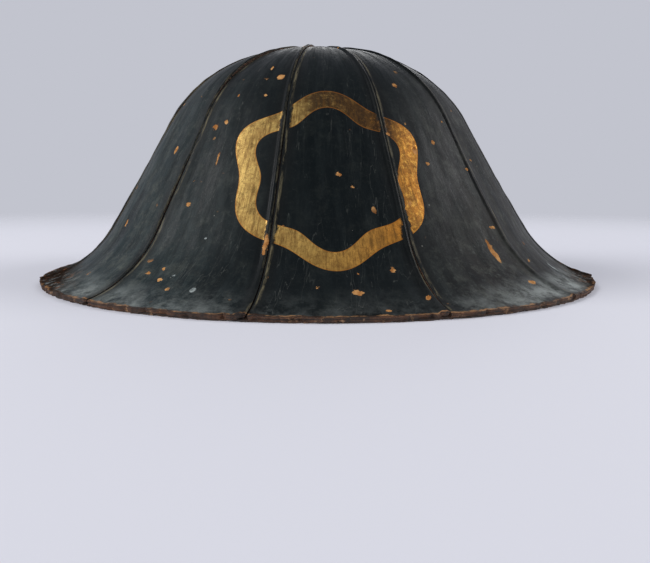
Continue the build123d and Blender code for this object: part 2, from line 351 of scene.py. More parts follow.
def stuffed(piece, sewn, growth, most):
    """Lets a stuffed piece's cloth swell and buckle, held where it is sewn, and moved this far at most."""
    start = corners_of(piece)
    group = piece.vertex_groups.new(name="sewn")
    for place, share in enumerate(np.round(sewn, 2)):
        group.add([place], float(share), "REPLACE")
    take(piece)
    bpy.ops.object.modifier_add(type="CLOTH")
    cloth = piece.modifiers[-1]
    cloth.settings.quality = 5
    cloth.settings.vertex_group_mass = "sewn"
    cloth.settings.use_pressure = True
    cloth.settings.uniform_pressure_force = 4
    cloth.settings.shrink_min = -growth
    cloth.settings.effector_weights.gravity = 0
    cloth.point_cache.frame_end = 20
    for frame_number in range(1, 21):
        bpy.context.scene.frame_set(frame_number)
    bpy.ops.object.modifier_apply(modifier=cloth.name)
    bpy.context.scene.frame_set(1)
    piece.vertex_groups.clear()
    moved = corners_of(piece) - start
    far = np.linalg.norm(moved, axis=1, keepdims=True)
    move_corners(piece, start + moved * np.minimum(1, most / np.maximum(far, 0.001 * MM)))


# ---------------------------------------------------------------- materials

def node(tree, kind, inputs=None, **settings):
    """Adds one node with its settings, sets or links its inputs, and returns its first output."""
    made = tree.nodes.new("ShaderNode" + kind)
    for name, value in settings.items():
        setattr(made, name, value)
    for name, value in (inputs or {}).items():
        if isinstance(name, int):
            socket = made.inputs[name]
        else:
            socket = next(found for found in made.inputs if found.name == name and found.enabled)
        if isinstance(value, bpy.types.NodeSocket):
            tree.links.new(value, socket)
        else:
            socket.default_value = value
    return next((output for output in made.outputs if output.enabled), None)


def new_tree(name):
    """A material of this name, its empty node tree and the object coordinates in it."""
    made = bpy.data.materials.new(name)
    made.use_nodes = True
    made.node_tree.nodes.clear()
    return made.node_tree, node(made.node_tree, "TexCoord").node.outputs["Object"]


def where_all(tree, *measures, most=1.0):
    """The most where every measure has come from its start to its end, down to 0 where one hasn't started."""
    whole = most
    for measure in measures:
        if isinstance(measure, tuple):
            value, start, end = measure
            measure = node(tree, "MapRange", {"Value": value, "From Min": start, "From Max": end})
        whole = node(tree, "Math", {0: measure, 1: whole}, operation="MULTIPLY")
    return whole


def laid_over(tree, below, above, *measures, most=1.0):
    """One colour laid over another where where_all says. A colour is a hex value, a property or an output."""
    below, above = [linear(colour) if isinstance(colour, str) else colour for colour in (below, above)]
    share = where_all(tree, *measures, most=most)
    return node(tree, "Mix", {"Factor": share, "A": below, "B": above}, data_type="RGBA")


def patches(tree, where, size, detail, rough, start, end):
    """Irregular patches of about this size, from 0 where the noise is at the start to 1 at the end."""
    cloud = node(tree, "TexNoise", {"Vector": where, "Scale": 1 / size, "Detail": detail, "Roughness": rough})
    return node(tree, "MapRange", {"Value": cloud, "From Min": start, "From Max": end})


def surface(tree, colour, rough, height, depth, strength, **others):
    """Ends a material with its shader, whose bumps are this deep."""
    bump = node(tree, "Bump", {"Height": height, "Distance": depth, "Strength": strength})
    inputs = {"Base Color": colour, "Roughness": rough, "Normal": bump, **others}
    shader = node(tree, "BsdfPrincipled", inputs)
    node(tree, "OutputMaterial", {"Surface": shader})


class GoreSpot:
    """Where a point of a gore lies: across the helmet, up from the rim and in from the gore's two edges."""

    def __init__(self, tree, place):
        self.place = place
        self.across = node(tree, "SeparateXYZ", {"Vector": place}).node.outputs["X"]
        self.outwards = node(tree, "Math", {0: self.across}, operation="ABSOLUTE")
        self.lay = node(tree, "Attribute", attribute_name="lay").node.outputs["Vector"]
        along = node(tree, "SeparateXYZ", {"Vector": self.lay}).node.outputs
        self.up = along["Y"]
        self.welt_edge = node(tree, "Math", {0: along["Z"]}, operation="ABSOLUTE")
        self.flat_edge = node(tree, "Attribute", attribute_name="far_edge").node.outputs["Fac"]
        self.edge = node(tree, "Math", {0: self.welt_edge, 1: self.flat_edge}, operation="MINIMUM")
        self.grain = node(tree, "TexNoise", {"Vector": place, "Scale": 1 / (5 * MM), "Detail": 6.0,
                                             "Roughness": 0.72})
        # Brush marks and rubbing run up and down the gores
        self.upright = node(tree, "Mapping", {"Vector": self.lay, "Scale": (1, 0.22, 0)})


def lacquered_leather(name, gilded):
    """Rawhide under brushed coats of lacquer: near black and satin, greyer and rougher where it is rubbed or
    dusty, and tan where it is chipped. Painted shade darkens its front, its crown and beside its welts; the
    grey at its sides and the tan on the welt crests are partly painted sheen and highlight."""
    colours = bpy.context.scene.helmet_colours
    tree, place = new_tree(name)
    spot = GoreSpot(tree, place)
    colour, sides, streaks, crown = lacquer_coats(tree, spot, colours)
    colour = hairline_scratches(tree, spot, colour)
    colour, haze = settled_dust(tree, spot, colour, colours, sides)
    colour = welt_shade_rub_and_highlight(tree, spot, colour)
    metal = gold = 0.0
    if gilded:
        colour, gold = gilt_ornament(tree, spot, colour, colours)
        metal = where_all(tree, gold, most=0.6)
    colour, chips = chips_and_spots(tree, spot, colour, colours)
    colour, ends = worn_brim(tree, spot, colour)
    rough = node(tree, "MapRange", {"Value": patches(tree, spot.upright, 16 * MM, 7.0, 0.75, 0.38, 0.62),
                                    "To Min": 0.33, "To Max": 0.62})
    if gilded:
        leaf_rough = node(tree, "MapRange", {"Value": spot.grain, "From Min": 0.38, "From Max": 0.6,
                                             "To Min": 0.22, "To Max": 0.6})
        rough = node(tree, "Mix", {"Factor": gold, "A": rough, "B": leaf_rough}, data_type="FLOAT")
    for where, roughness in ((haze, 0.9), (ends, 0.95), (streaks, 0.7), (chips, 0.85)):
        rough = node(tree, "Mix", {"Factor": where, "A": rough, "B": roughness}, data_type="FLOAT")
    # Bare hide doesn't shine, and the crown hardly does
    matt = node(tree, "Math", {0: ends, 1: where_all(tree, crown, most=0.75)}, operation="MAXIMUM")
    shine = node(tree, "MapRange", {"Value": matt, "To Min": 0.1, "To Max": 0.0})
    height = node(tree, "Math", {0: spot.grain, 1: 0.5, 2: streaks}, operation="MULTIPLY_ADD")
    height = node(tree, "Math", {0: height, 1: chips}, operation="SUBTRACT")
    surface(tree, colour, rough, height, 0.25 * MM, 0.4, **{"Metallic": metal, "Specular IOR Level": shine})


def lacquer_coats(tree, spot, colours):
    """The coats: black-green on the left and browner on the right, with grey rubbing. The near-black front is
    painted shade, and the rubbing laid thickest at the sides is partly painted sheen.
    """
    left, right = [
        node(tree, "MapRange", {"Value": spot.across, "From Min": start, "From Max": end},
             interpolation_type="SMOOTHSTEP") for start, end in ((-0.03, -0.12), (0.02, 0.09))]
    # Near black at the front is painted shade
    colour = laid_over(tree, colours.lacquer_deep, colours.lacquer, left)
    colour = laid_over(tree, colour, colours.lacquer_brown, right)
    # Cloudy streaks and mottling are real rubbing, thickest at the sides, where their paler grey also paints
    # in sheen
    sides = node(tree, "Math", {0: left, 1: right}, operation="MAXIMUM")
    sides = node(tree, "MapRange", {"Value": sides, "To Min": 0.15, "To Max": 1.0})
    streaks = patches(tree, spot.upright, 9 * MM, 6.0, 0.72, 0.46, 0.66)
    streaks = where_all(tree, streaks, sides, most=0.75)
    colour = laid_over(tree, colour, laid_over(tree, "#424A4A", "#3C3A35", right), streaks)
    mottle = patches(tree, spot.place, 12 * MM, 9.0, 0.82, 0.5, 0.66)
    colour = laid_over(tree, colour, "#5B5E56", mottle, sides, most=0.6)
    # Painted shade darkens the crown and some long patches, and fine grime darkens all of it unevenly
    crown = where_all(tree, (spot.up, 140 * MM, 195 * MM), most=0.75)
    shade = where_all(tree, patches(tree, spot.upright, 26 * MM, 6.0, 0.75, 0.5, 0.62), most=0.8)
    shade = node(tree, "Math", {0: shade, 1: crown}, operation="MAXIMUM")
    colour = laid_over(tree, colour, colours.lacquer_deep, shade)
    grime = patches(tree, spot.place, 5 * MM, 9.0, 0.85, 0.44, 0.6)
    colour = laid_over(tree, colour, colours.lacquer_deep, grime, most=0.55)
    return colour, sides, streaks, crown


def hairline_scratches(tree, spot, colour):
    """Fine pale scratches that slant two ways."""
    for turn, seed in ((0.5, 1.0), (-0.9, 3.0)):
        slanted = node(tree, "Mapping", {"Vector": spot.lay, "Rotation": (0, 0, turn), "Scale": (1, 0.12, 1),
                                         "Location": (seed, seed, 0)})
        line = node(tree, "TexNoise", {"Vector": slanted, "Scale": 1 / (8 * MM), "Detail": 3.0})
        line = node(tree, "Math", {0: line, 1: 0.5}, operation="SUBTRACT")
        line = node(tree, "Math", {0: line}, operation="ABSOLUTE")
        some = patches(tree, slanted, 30 * MM, 2.0, 0.5, 0.52, 0.6)
        colour = laid_over(tree, colour, "#7A7C76", (line, 0.006, 0.0), some, most=0.2)
    return colour


def settled_dust(tree, spot, colour, colours, sides):
    """Pale dust: a patchy haze along the rim, a whiter bloom at its right, and flecks elsewhere."""
    reach = node(tree, "MapRange", {"Value": spot.outwards, "From Min": 30 * MM, "From Max": 130 * MM,
                                    "To Min": 0.15, "To Max": 0.9})
    haze = patches(tree, spot.place, 15 * MM, 9.0, 0.8, 0.42, 0.62)
    haze = where_all(tree, (spot.up, 26 * MM, 3 * MM), reach, haze, most=0.75)
    colour = laid_over(tree, colour, colours.dust, haze)
    bloom = patches(tree, spot.place, 9 * MM, 9.0, 0.8, 0.42, 0.58)
    colour = laid_over(tree, colour, colours.dust, bloom, (spot.across, 60 * MM, 120 * MM),
                       (spot.up, 2 * MM, 7 * MM), (spot.up, 26 * MM, 12 * MM), most=0.7)
    fleck = patches(tree, spot.place, 2.5 * MM, 4.0, 0.8, 0.54, 0.72)
    colour = laid_over(tree, colour, "#70756F", fleck, sides, most=0.3)
    specks = dots(tree, spot.place, 7 * MM, "Red", 0.6, 0.07, 0.02)
    return laid_over(tree, colour, "#8E8D84", specks, most=0.6), haze


def dots(tree, where, spacing, channel, least_luck, largest, edge):
    """Scattered round dots, sized by luck up to a share of their spacing, with an edge that soft."""
    cells = node(tree, "TexVoronoi", {"Vector": where, "Scale": 1 / spacing}).node.outputs
    luck = node(tree, "SeparateColor", {"Color": cells["Color"]}).node.outputs[channel]
    size = where_all(tree, (luck, least_luck, 1.0), most=largest)
    inside = node(tree, "Math", {0: size, 1: cells["Distance"]}, operation="SUBTRACT")
    return node(tree, "MapRange", {"Value": inside, "From Max": edge})


def welt_shade_rub_and_highlight(tree, spot, colour):
    """Painted shade darkens the lacquer beside the welts, and their crests are rubbed to an olive tan, which
    is partly a painted highlight.
    """
    # Painted shade: near black beside the welts
    colour = laid_over(tree, colour, "#070909", (spot.edge, 8 * MM, 3 * MM), most=0.6)
    long_grain = node(tree, "Mapping", {"Vector": spot.lay, "Scale": (1, 0.16, 0)})
    rub = patches(tree, long_grain, 3 * MM, 7.0, 0.8, 0.48, 0.6)
    # Olive tan on the crests: rubbing, partly a painted highlight
    crest = where_all(tree, (spot.welt_edge, 0.5 * MM, 1.1 * MM), (spot.welt_edge, 2.6 * MM, 1.6 * MM), rub,
                      most=0.8)
    turned_up = where_all(tree, (spot.flat_edge, 1.2 * MM, 0.5 * MM), rub, most=0.55)
    rubbed = node(tree, "Math", {0: crest, 1: turned_up}, operation="MAXIMUM")
    return laid_over(tree, colour, "#6F6750", rubbed)


# The largest marks: how far round in degrees, how far up, how long and wide in millimetres, and their slant
CHIPS = ((-20, 158, 5.5, 8.5, 0.3), (-54, 109, 6, 4, 0.2), (-17, 200, 5, 4, 1.4), (37, 45, 17, 4.5, 0.6),
         (-15.8, 52, 13, 3, 0.1), (-34, 102, 9, 1.2, -0.8), (-26, 168, 4, 3, 0.0), (24, 108, 6, 4.5, 0.0),
         (2, 22, 4, 5, 0.0), (-62, 60, 4.5, 3, 0.5), (42, 60, 1.3, 7, 0.2), (40, 20, 4, 6, 0.3))
SPOTS = ((-27, 21, 3.4, 3.4, 0.0), (-33, 30, 1.4, 1.8, 0.0), (-30, 55, 1.6, 1.2, 0.4), (58, 26, 9, 2.5, 1.3))


def known_marks(tree, ragged_lay, marks):
    """Where the listed marks lie, each a ragged oval."""
    found = 0.0
    for azimuth, up, length_mm, width_mm, slant in marks:
        middle = Vector((radians(azimuth) * LAY_RADIUS, up * MM, 0))
        away = node(tree, "VectorMath", {0: ragged_lay, 1: middle}, operation="SUBTRACT")
        away = node(tree, "Mapping", {"Vector": away, "Rotation": (0, 0, slant),
                                      "Scale": (2 / width_mm / MM, 2 / length_mm / MM, 0)})
        away = node(tree, "VectorMath", {0: away}, operation="LENGTH").node.outputs["Value"]
        mark = where_all(tree, (away, 1.0, 0.85))
        found = node(tree, "Math", {0: mark, 1: found}, operation="MAXIMUM")
    return found


def chips_and_spots(tree, spot, colour, colours):
    """Chips show the tan hide under the lacquer, small ones in crowds. A few spots are pale."""
    ragged = node(tree, "TexNoise", {"Vector": spot.place, "Scale": 1 / (3.5 * MM), "Detail": 6.0,
                                     "Roughness": 0.65}).node.outputs["Color"]
    ragged = node(tree, "VectorMath", {0: ragged, 1: (0.5, 0.5, 0.5)}, operation="SUBTRACT")
    ragged = node(tree, "VectorMath", {0: ragged, "Scale": 5 * MM}, operation="SCALE")
    ragged_place, ragged_lay = [
        node(tree, "VectorMath", {0: where, 1: ragged}, operation="ADD") for where in (spot.place, spot.lay)]
    crowded = patches(tree, spot.place, 42 * MM, 2.0, 0.5, 0.5, 0.56)
    chips = known_marks(tree, ragged_lay, CHIPS)
    for spacing, least_luck, largest, seed, share in (
            (9 * MM, 0.3, 0.2, 0.0, crowded), (26 * MM, 0.35, 0.1, 5.0, 1.0)):
        moved = node(tree, "Mapping", {"Vector": ragged_place, "Location": (seed, 0, seed)})
        some = where_all(tree, dots(tree, moved, spacing, "Green", least_luck, largest, 0.012), share)
        chips = node(tree, "Math", {0: some, 1: chips}, operation="MAXIMUM")
    hide = laid_over(tree, "#935E2E", colours.chip, (spot.grain, 0.4, 0.6))
    colour = laid_over(tree, colour, hide, chips)
    spots = known_marks(tree, ragged_lay, SPOTS)
    return laid_over(tree, colour, "#9DA5A3", spots, (spot.grain, 0.36, 0.5), most=0.85), chips


def worn_brim(tree, spot, colour):
    """The lacquer is browned at the brim's two ends, and worn off along its very edge."""
    ends = where_all(tree, (spot.outwards, 136 * MM, 154 * MM), (spot.up, 30 * MM, 14 * MM),
                     (spot.grain, 0.34, 0.46), most=0.95)
    bared = laid_over(tree, "#211812", "#74492D", patches(tree, spot.place, 6 * MM, 7.0, 0.8, 0.55, 0.62))
    colour = laid_over(tree, colour, bared, ends)
    wavy_up = node(tree, "Math", {0: spot.grain, 1: 5 * MM, 2: spot.up}, operation="MULTIPLY_ADD")
    lip = laid_over(tree, "#2B1D15", "#96704C", patches(tree, spot.place, 16 * MM, 8.0, 0.8, 0.47, 0.56))
    return laid_over(tree, colour, lip, (wavy_up, 4.2 * MM, 3.6 * MM), most=0.9), ends


def gilt_ornament(tree, spot, colour, colours):
    """Gold leaf laid as a scalloped ring, worn through at the seams, and the share of it that is left."""
    centre_across, centre_up, radius, lobes, lobe_depth, half_width = (
        -3.5 * MM, 91 * MM, 45 * MM, 6.0, 3.4 * MM, 5.85 * MM)
    sideways = node(tree, "Math", {0: spot.across, 1: centre_across}, operation="SUBTRACT")
    up = node(tree, "Math", {0: spot.up, 1: centre_up}, operation="SUBTRACT")
    away = node(tree, "CombineXYZ", {"X": sideways, "Y": up})
    away = node(tree, "VectorMath", {0: away}, operation="LENGTH").node.outputs["Value"]
    angle = node(tree, "Math", {0: sideways, 1: up}, operation="ARCTAN2")
    lobe = node(tree, "Math", {0: angle, 1: lobes}, operation="MULTIPLY")
    lobe = node(tree, "Math", {0: lobe}, operation="COSINE")
    ring = node(tree, "Math", {0: lobe, 1: lobe_depth, 2: radius}, operation="MULTIPLY_ADD")
    off = node(tree, "Math", {0: away, 1: ring}, operation="SUBTRACT")
    off = node(tree, "Math", {0: off}, operation="ABSOLUTE")

    # The leaf is rubbed away beside the seams and in worn patches
    fine = node(tree, "TexNoise", {"Vector": spot.place, "Scale": 1 / (3 * MM), "Detail": 8.0,
                                   "Roughness": 0.8})
    wear = node(tree, "TexNoise", {"Vector": spot.place, "Scale": 1 / (10 * MM), "Detail": 9.0,
                                   "Roughness": 0.78})
    near_seam = where_all(tree, (spot.edge, 4.5 * MM, 1.0 * MM), most=0.34)
    worn = node(tree, "Math", {0: wear, 1: near_seam}, operation="ADD")
    gold = where_all(tree, (off, half_width, half_width - 0.3 * MM), (worn, 0.74, 0.64))

    # It is yellow on the left, redder on the right and browner below, and brown where it is tarnished
    leaf = laid_over(tree, colours.gilding, "#BE7F33", (sideways, -10 * MM, 30 * MM))
    leaf = laid_over(tree, leaf, "#A87A2E", (up, -20 * MM, -50 * MM), most=0.5)
    blotches = patches(tree, spot.place, 11 * MM, 6.0, 0.7, 0.44, 0.6)
    leaf = laid_over(tree, leaf, "#4A3522", (up, 25 * MM, 50 * MM), blotches, most=0.85)
    leaf = laid_over(tree, leaf, "#6E5028", blotches, most=0.45)
    leaf = laid_over(tree, leaf, colours.tarnish, (fine, 0.45, 0.72), most=0.75)
    # At the upper right it is nearly black, and past that a painted highlight glints
    leaf = laid_over(tree, leaf, "#2C2119", (up, 4 * MM, 22 * MM), (sideways, -18 * MM, -7 * MM),
                     (sideways, 40 * MM, 34 * MM), (fine, 0.22, 0.5), most=0.93)
    leaf = laid_over(tree, leaf, "#E2AC50", (sideways, 34 * MM, 40 * MM), (fine, 0.5, 0.4), most=0.85)
    # Brush marks, fine cracks and a redder edge where the size shows
    brushed = node(tree, "Mapping", {"Vector": spot.lay, "Scale": (1, 0.12, 0)})
    brushed = patches(tree, brushed, 2 * MM, 7.0, 0.85, 0.46, 0.58)
    leaf = laid_over(tree, leaf, "#5E4220", brushed, most=0.7)
    cracks = node(tree, "TexVoronoi", {"Vector": spot.place, "Scale": 1 / (4.2 * MM)},
                  feature="DISTANCE_TO_EDGE")
    leaf = laid_over(tree, leaf, "#4A3216", (cracks, 0.05, 0.01), (wear, 0.46, 0.58), most=0.5)
    leaf = laid_over(tree, leaf, "#B0691F", (off, half_width - 0.8 * MM, half_width - 0.4 * MM), most=0.4)
    return laid_over(tree, colour, leaf, gold), gold


def plain_leather(name, dark, light, grain_size, rough=0.7):
    """Vegetable-tanned leather: brown and matt, with pores and darker creases."""
    tree, place = new_tree(name)
    pores = node(tree, "TexVoronoi", {"Vector": place, "Scale": 1 / grain_size}, feature="DISTANCE_TO_EDGE")
    creases = where_all(tree, (pores, 0.0, 0.15))
    colour = laid_over(tree, dark, light, patches(tree, place, 20 * MM, 6.0, 0.7, 0.35, 0.68))
    surface(tree, laid_over(tree, dark, colour, creases), rough, creases, 0.15 * MM, 0.5)


def raw_edge_leather(name, dark, tan, grime):
    """Cut edge of many glued plies of hide: tan, brown and black layers, frayed and grimy."""
    tree, place = new_tree(name)
    plies = node(tree, "Mapping", {"Vector": place, "Scale": (1 / (40 * MM), 1 / (40 * MM), 1.5 / MM)})
    layers = patches(tree, plies, 1.0, 4.0, 0.7, 0.38, 0.62)
    colour = laid_over(tree, dark, tan, layers)
    grimy = patches(tree, place, 9 * MM, 6.0, 0.75, 0.4, 0.62)
    colour = laid_over(tree, colour, "#15110F", grimy, most=grime)
    frayed = patches(tree, place, 4 * MM, 5.0, 0.7, 0.58, 0.7)
    colour = laid_over(tree, colour, "#A57F5C", frayed, most=0.8)
    surface(tree, colour, 0.85, layers, 0.4 * MM, 0.8)


def indigo_hemp(name, thread):
    """Plain-woven hemp dyed with indigo, faded on the high threads. They are drawn coarse enough to show."""
    tree, place = new_tree(name)
    weave = node(tree, "SeparateXYZ", {"Vector": node(tree, "UVMap")}).node.outputs
    threads = 1.0
    for way in ("X", "Y"):
        wave = node(tree, "Math", {0: weave[way], 1: pi / thread}, operation="MULTIPLY")
        wave = node(tree, "Math", {0: wave}, operation="SINE")
        threads = node(tree, "Math", {0: wave, 1: threads}, operation="MULTIPLY")
    threads = node(tree, "MapRange", {"Value": threads, "From Min": -1})
    fade = patches(tree, place, 25 * MM, 5.0, 0.65, 0.35, 0.7)
    faded = laid_over(tree, bpy.context.scene.helmet_colours.indigo, "#4C5B70", fade)
    surface(tree, laid_over(tree, "#1A2438", faded, threads), 0.9, threads, 0.3 * MM, 0.6,
            **{"Sheen Weight": 0.25, "Sheen Roughness": 0.5})


def old_metal(name, bright, dark, rough):
    """Hand-forged metal: dark with age, brighter where it is rubbed."""
    tree, place = new_tree(name)
    age = patches(tree, place, 4 * MM, 6.0, 0.7, 0.38, 0.62)
    polish = node(tree, "MapRange", {"Value": age, "To Min": rough, "To Max": rough + 0.3})
    surface(tree, laid_over(tree, bright, dark, age), polish, age, 0.1 * MM, 0.5, Metallic=0.9)


def pale_backdrop(name):
    """Matt seamless paper, pale and slightly cool. It fades into the background some way off."""
    tree, place = new_tree(name)
    drift = node(tree, "TexNoise", {"Vector": place, "Scale": 1.3, "Detail": 1})
    colour = laid_over(tree, "#D3D3DC", "#DEDEE5", drift)
    shader = node(tree, "BsdfPrincipled", {"Base Color": colour, "Roughness": 0.9})
    far = node(tree, "VectorMath", {0: place}, operation="LENGTH").node.outputs["Value"]
    far = node(tree, "MapRange", {"Value": far, "From Min": 0.35, "From Max": 1.3},
               interpolation_type="SMOOTHERSTEP")
    # From below, the paper is clear, and it lets the room's light up into the helmet
    below = node(tree, "NewGeometry").node.outputs["Backfacing"]
    path = node(tree, "LightPath").node.outputs
    for clear_to in (below, path["Is Diffuse Ray"], path["Is Shadow Ray"]):
        far = node(tree, "Math", {0: far, 1: clear_to}, operation="MAXIMUM")
    shown = node(tree, "MixShader", {0: far, 1: shader, 2: node(tree, "BsdfTransparent")})
    node(tree, "OutputMaterial", {"Surface": shown})


# Each finish: what makes it, and its colours, sizes and roughness
FINISHES = {
    "gilded_lacquer": (lacquered_leather, True),
    "lacquer": (lacquered_leather, False),
    "dull_lacquer": (plain_leather, "#221B17", "#3B2F27", 2.5 * MM, 0.55),
    "raw_edge": (raw_edge_leather, "#18100C", "#6E462C", 0.9),
    "grimy_edge": (raw_edge_leather, "#140E0B", "#5A3A26", 0.9),
    "oiled_leather": (plain_leather, "#1E140F", "#3A281C", 1.8 * MM),
    "band_leather": (plain_leather, "#3A2417", "#6A452B", 1.4 * MM),
    "indigo_hemp": (indigo_hemp, 0.9 * MM),
    "hemp_thread": (plain_leather, "#8C7B5C", "#B5A581", 0.8 * MM, 0.9),
    "black_iron": (old_metal, "#4A4642", "#191715", 0.45),
    "dull_brass": (old_metal, "#B08A45", "#5A421E", 0.35),
    "seamless_paper": (pale_backdrop,),
}


def material(name):
    """The finish of this name, made the first time that it is asked for."""
    if name not in bpy.data.materials:
        maker, *details = FINISHES[name]
        maker(name, *details)
    return bpy.data.materials[name]


# ---------------------------------------------------------------- the shell's pieces

def lay_of(piece, places, up, near_edge, far_edge):
    """Tells a piece's lacquer how far round, how far up and how far from the two edges each point lies."""
    turn, _ = round_axis(places)
    lay = piece.data.attributes.new("lay", "FLOAT_VECTOR", "POINT")
    lay.data.foreach_set("vector", np.stack([turn * LAY_RADIUS, up, near_edge], axis=1).ravel())
    far = piece.data.attributes.new("far_edge", "FLOAT", "POINT")
    far.data.foreach_set("value", far_edge)


class HELMET_OT_gores(bpy.types.Operator):
    """Models one gore, copies it round the shell and works each copy one by one"""
    bl_idname = "helmet.gores"
    bl_label = "Gores"

    def execute(self, context):
        shell, _, meridian = sizes(context)
        eye_radius, crowding = 3.2 * MM, 1.32
        half = pi / shell.gore_count - shell.seam_gap / 2 / shell.rim_radius
        ups = np.linspace(0, 1, 108) ** 1.06 * meridian.up_at_radius(eye_radius)
        blank = spun("gore_blank", meridian.line(ups, -half, 0), 2 * half, 64)
        places = corners_of(blank)
        up = meridian.up_at_height(places[:, 2])
        # The points are crowded towards the two edges, where the welts are
        turn, _ = round_axis(places)
        turn = half * np.sin(turn / half * crowding) / sin(crowding)
        for number in range(shell.gore_count):
            azimuth = number * 2 * pi / shell.gore_count
            gore = copy_of(blank, f"lacquered_gore_{number + 1:02d}")
            self.work(gore, meridian, shell, up, turn, half, azimuth, number)
            front = number in (0, 1, shell.gore_count - 1)
            finishes = ["gilded_lacquer" if front else "lacquer", "dull_lacquer", "raw_edge"]
            finished(gore, "helmet", "lacquered_leather", finishes, f"gore_{number + 1:02d}")
        delete(blank)
        return {"FINISHED"}

    def work(self, gore, meridian, shell, up, turn, half, azimuth, seed):
        """Raises the edges, beats the hollows and wears the rim of one gore, then gives it its thickness."""
        sunk = 0.15 * MM
        radius = np.interp(up, meridian.ups, meridian.radii)
        flat = meridian.place(up, turn + azimuth, 0)
        near_rim = 1 - ease(up, 0, 38 * MM)
        width = shell.welt_width * (0.72 + 0.28 * radius / shell.rim_radius)
        width = np.minimum(width, radius * half * 0.8)
        # The welt stands on one edge of each gore and the other edge is only turned up a little
        lift = np.zeros(len(up))
        for side, height, spread in ((-1, 1.0, 1.0), (1, 0.2, 0.7)):
            distance = (half + side * turn) * radius
            reach = width * spread * (1 + 0.9 * near_rim)
            rounding = 1 - 0.5 * (1 - ease(distance, 0, 0.9 * MM))
            lift += shell.welt_height * height * (1 - ease(distance, reach * 0.45, reach)) * rounding
        rough = wander(flat, 7 * MM, seed)
        lift *= 0.85 + 0.15 * np.clip(rough, -1, 1)
        # Hollows of a hand's work, and ripples where the leather has drawn up near the rim
        fade = ease(up, 2 * MM, 30 * MM)
        lift += shell.dent_depth * (wander(flat, 55 * MM, seed + 20) * fade - 0.3)
        lift -= 0.35 * MM * near_rim * (1 + wander(flat, 12 * MM, seed + 40)) / 2
        # The cut edge at the rim is nibbled
        nibble = (1 + wander(flat, 6 * MM, seed + 60)) * 0.6 * MM
        nibble += np.maximum(0, wander(flat, 2.6 * MM, seed + 70)) * 1.3 * MM
        nibble *= 1 - ease(up, 0, 7 * MM)
        top_taper = ease(radius, 10 * MM, 24 * MM)
        places = meridian.place(up + nibble, turn + azimuth, lift * top_taper - sunk)
        move_corners(gore, places)
        lay_of(gore, places, up, (half + turn) * radius, (half - turn) * radius)
        # The wall has an outer, an inner and an edge finish, in this order
        gore.data.materials.clear()
        for _ in range(3):
            gore.data.materials.append(None)
        modify(gore, "SOLIDIFY", thickness=shell.wall - sunk, offset=-1, material_offset=1,
               material_offset_rim=2)
        smooth(gore, radians(50))


class HELMET_OT_seam_strips(bpy.types.Operator):
    """Models the leather strip behind a seam and copies it round the shell"""
    bl_idname = "helmet.seam_strips"
    bl_label = "Seam strips"

    def execute(self, context):
        shell, _, meridian = sizes(context)
        half = radians(2.5)
        ups = np.linspace(13.4 * MM, meridian.up_at_radius(22.2 * MM), 60)
        strip = spun("seam_strip_blank", meridian.line(ups, -half, meridian.lifts["strip"]), 2 * half, 8)
        modify(strip, "SOLIDIFY", thickness=STRIP_THICKNESS, offset=-1)
        modify(strip, "BEVEL", width=0.25 * MM, segments=2, limit_method="ANGLE")
        smooth(strip)
        for number in range(shell.gore_count):
            turn = Matrix.Rotation((number + 0.5) * 2 * pi / shell.gore_count, 4, "Z")
            copy = copy_of(strip, f"backing_strip_{number + 1:02d}", turn)
            finished(copy, "helmet", "seam_leather", ["oiled_leather"], f"seam_strip_{number + 1:02d}")
        delete(strip)
        return {"FINISHED"}


class HELMET_OT_rim_strips(bpy.types.Operator):
    """Models the worn strips of leather under the edge of the brim"""
    bl_idname = "helmet.rim_strips"
    bl_label = "Rim strips"

    def execute(self, context):
        shell, _, meridian = sizes(context)
        lift, width = meridian.lifts["strip"], 13 * MM
        half = pi / RIM_STRIP_COUNT - 0.5 * MM / shell.rim_radius
        blank = spun("rim_strip_blank", meridian.line(np.linspace(0, width, 14), -half, lift), 2 * half, 230)
        turn, radius = round_axis(corners_of(blank))
        up = meridian.up_at_radius(radius - sin(RIM_RISE) * lift)
        for number in range(RIM_STRIP_COUNT):
            azimuth = number * 2 * pi / RIM_STRIP_COUNT
            strip = copy_of(blank, f"worn_rim_strip_{number + 1}")
            # Both long edges are frayed, the lower one more
            flat = meridian.place(up, turn + azimuth, lift)
            nibble = (1 + wander(flat, 5 * MM, number + 80)) * 0.7 * MM
            nibble += np.maximum(0, wander(flat, 1.8 * MM, number + 85)) * 1.4 * MM
            nibble *= 1 - ease(up, 0, 5 * MM)
            nibble -= (1 + wander(flat, 9 * MM, number + 90)) * 0.3 * MM * ease(up, 8 * MM, width)
            move_corners(strip, meridian.place(up + nibble, turn + azimuth, lift))
            modify(strip, "SOLIDIFY", thickness=STRIP_THICKNESS, offset=-1)
            # What the strip stands on wears it flat
            settled = corners_of(strip)
            settled[:, 2] = np.maximum(settled[:, 2], 0.02 * MM)
            move_corners(strip, settled)
            smooth(strip, radians(50))
            finished(strip, "helmet", "rim_leather", ["grimy_edge"], f"rim_strip_{number + 1}")
        delete(blank)
        return {"FINISHED"}


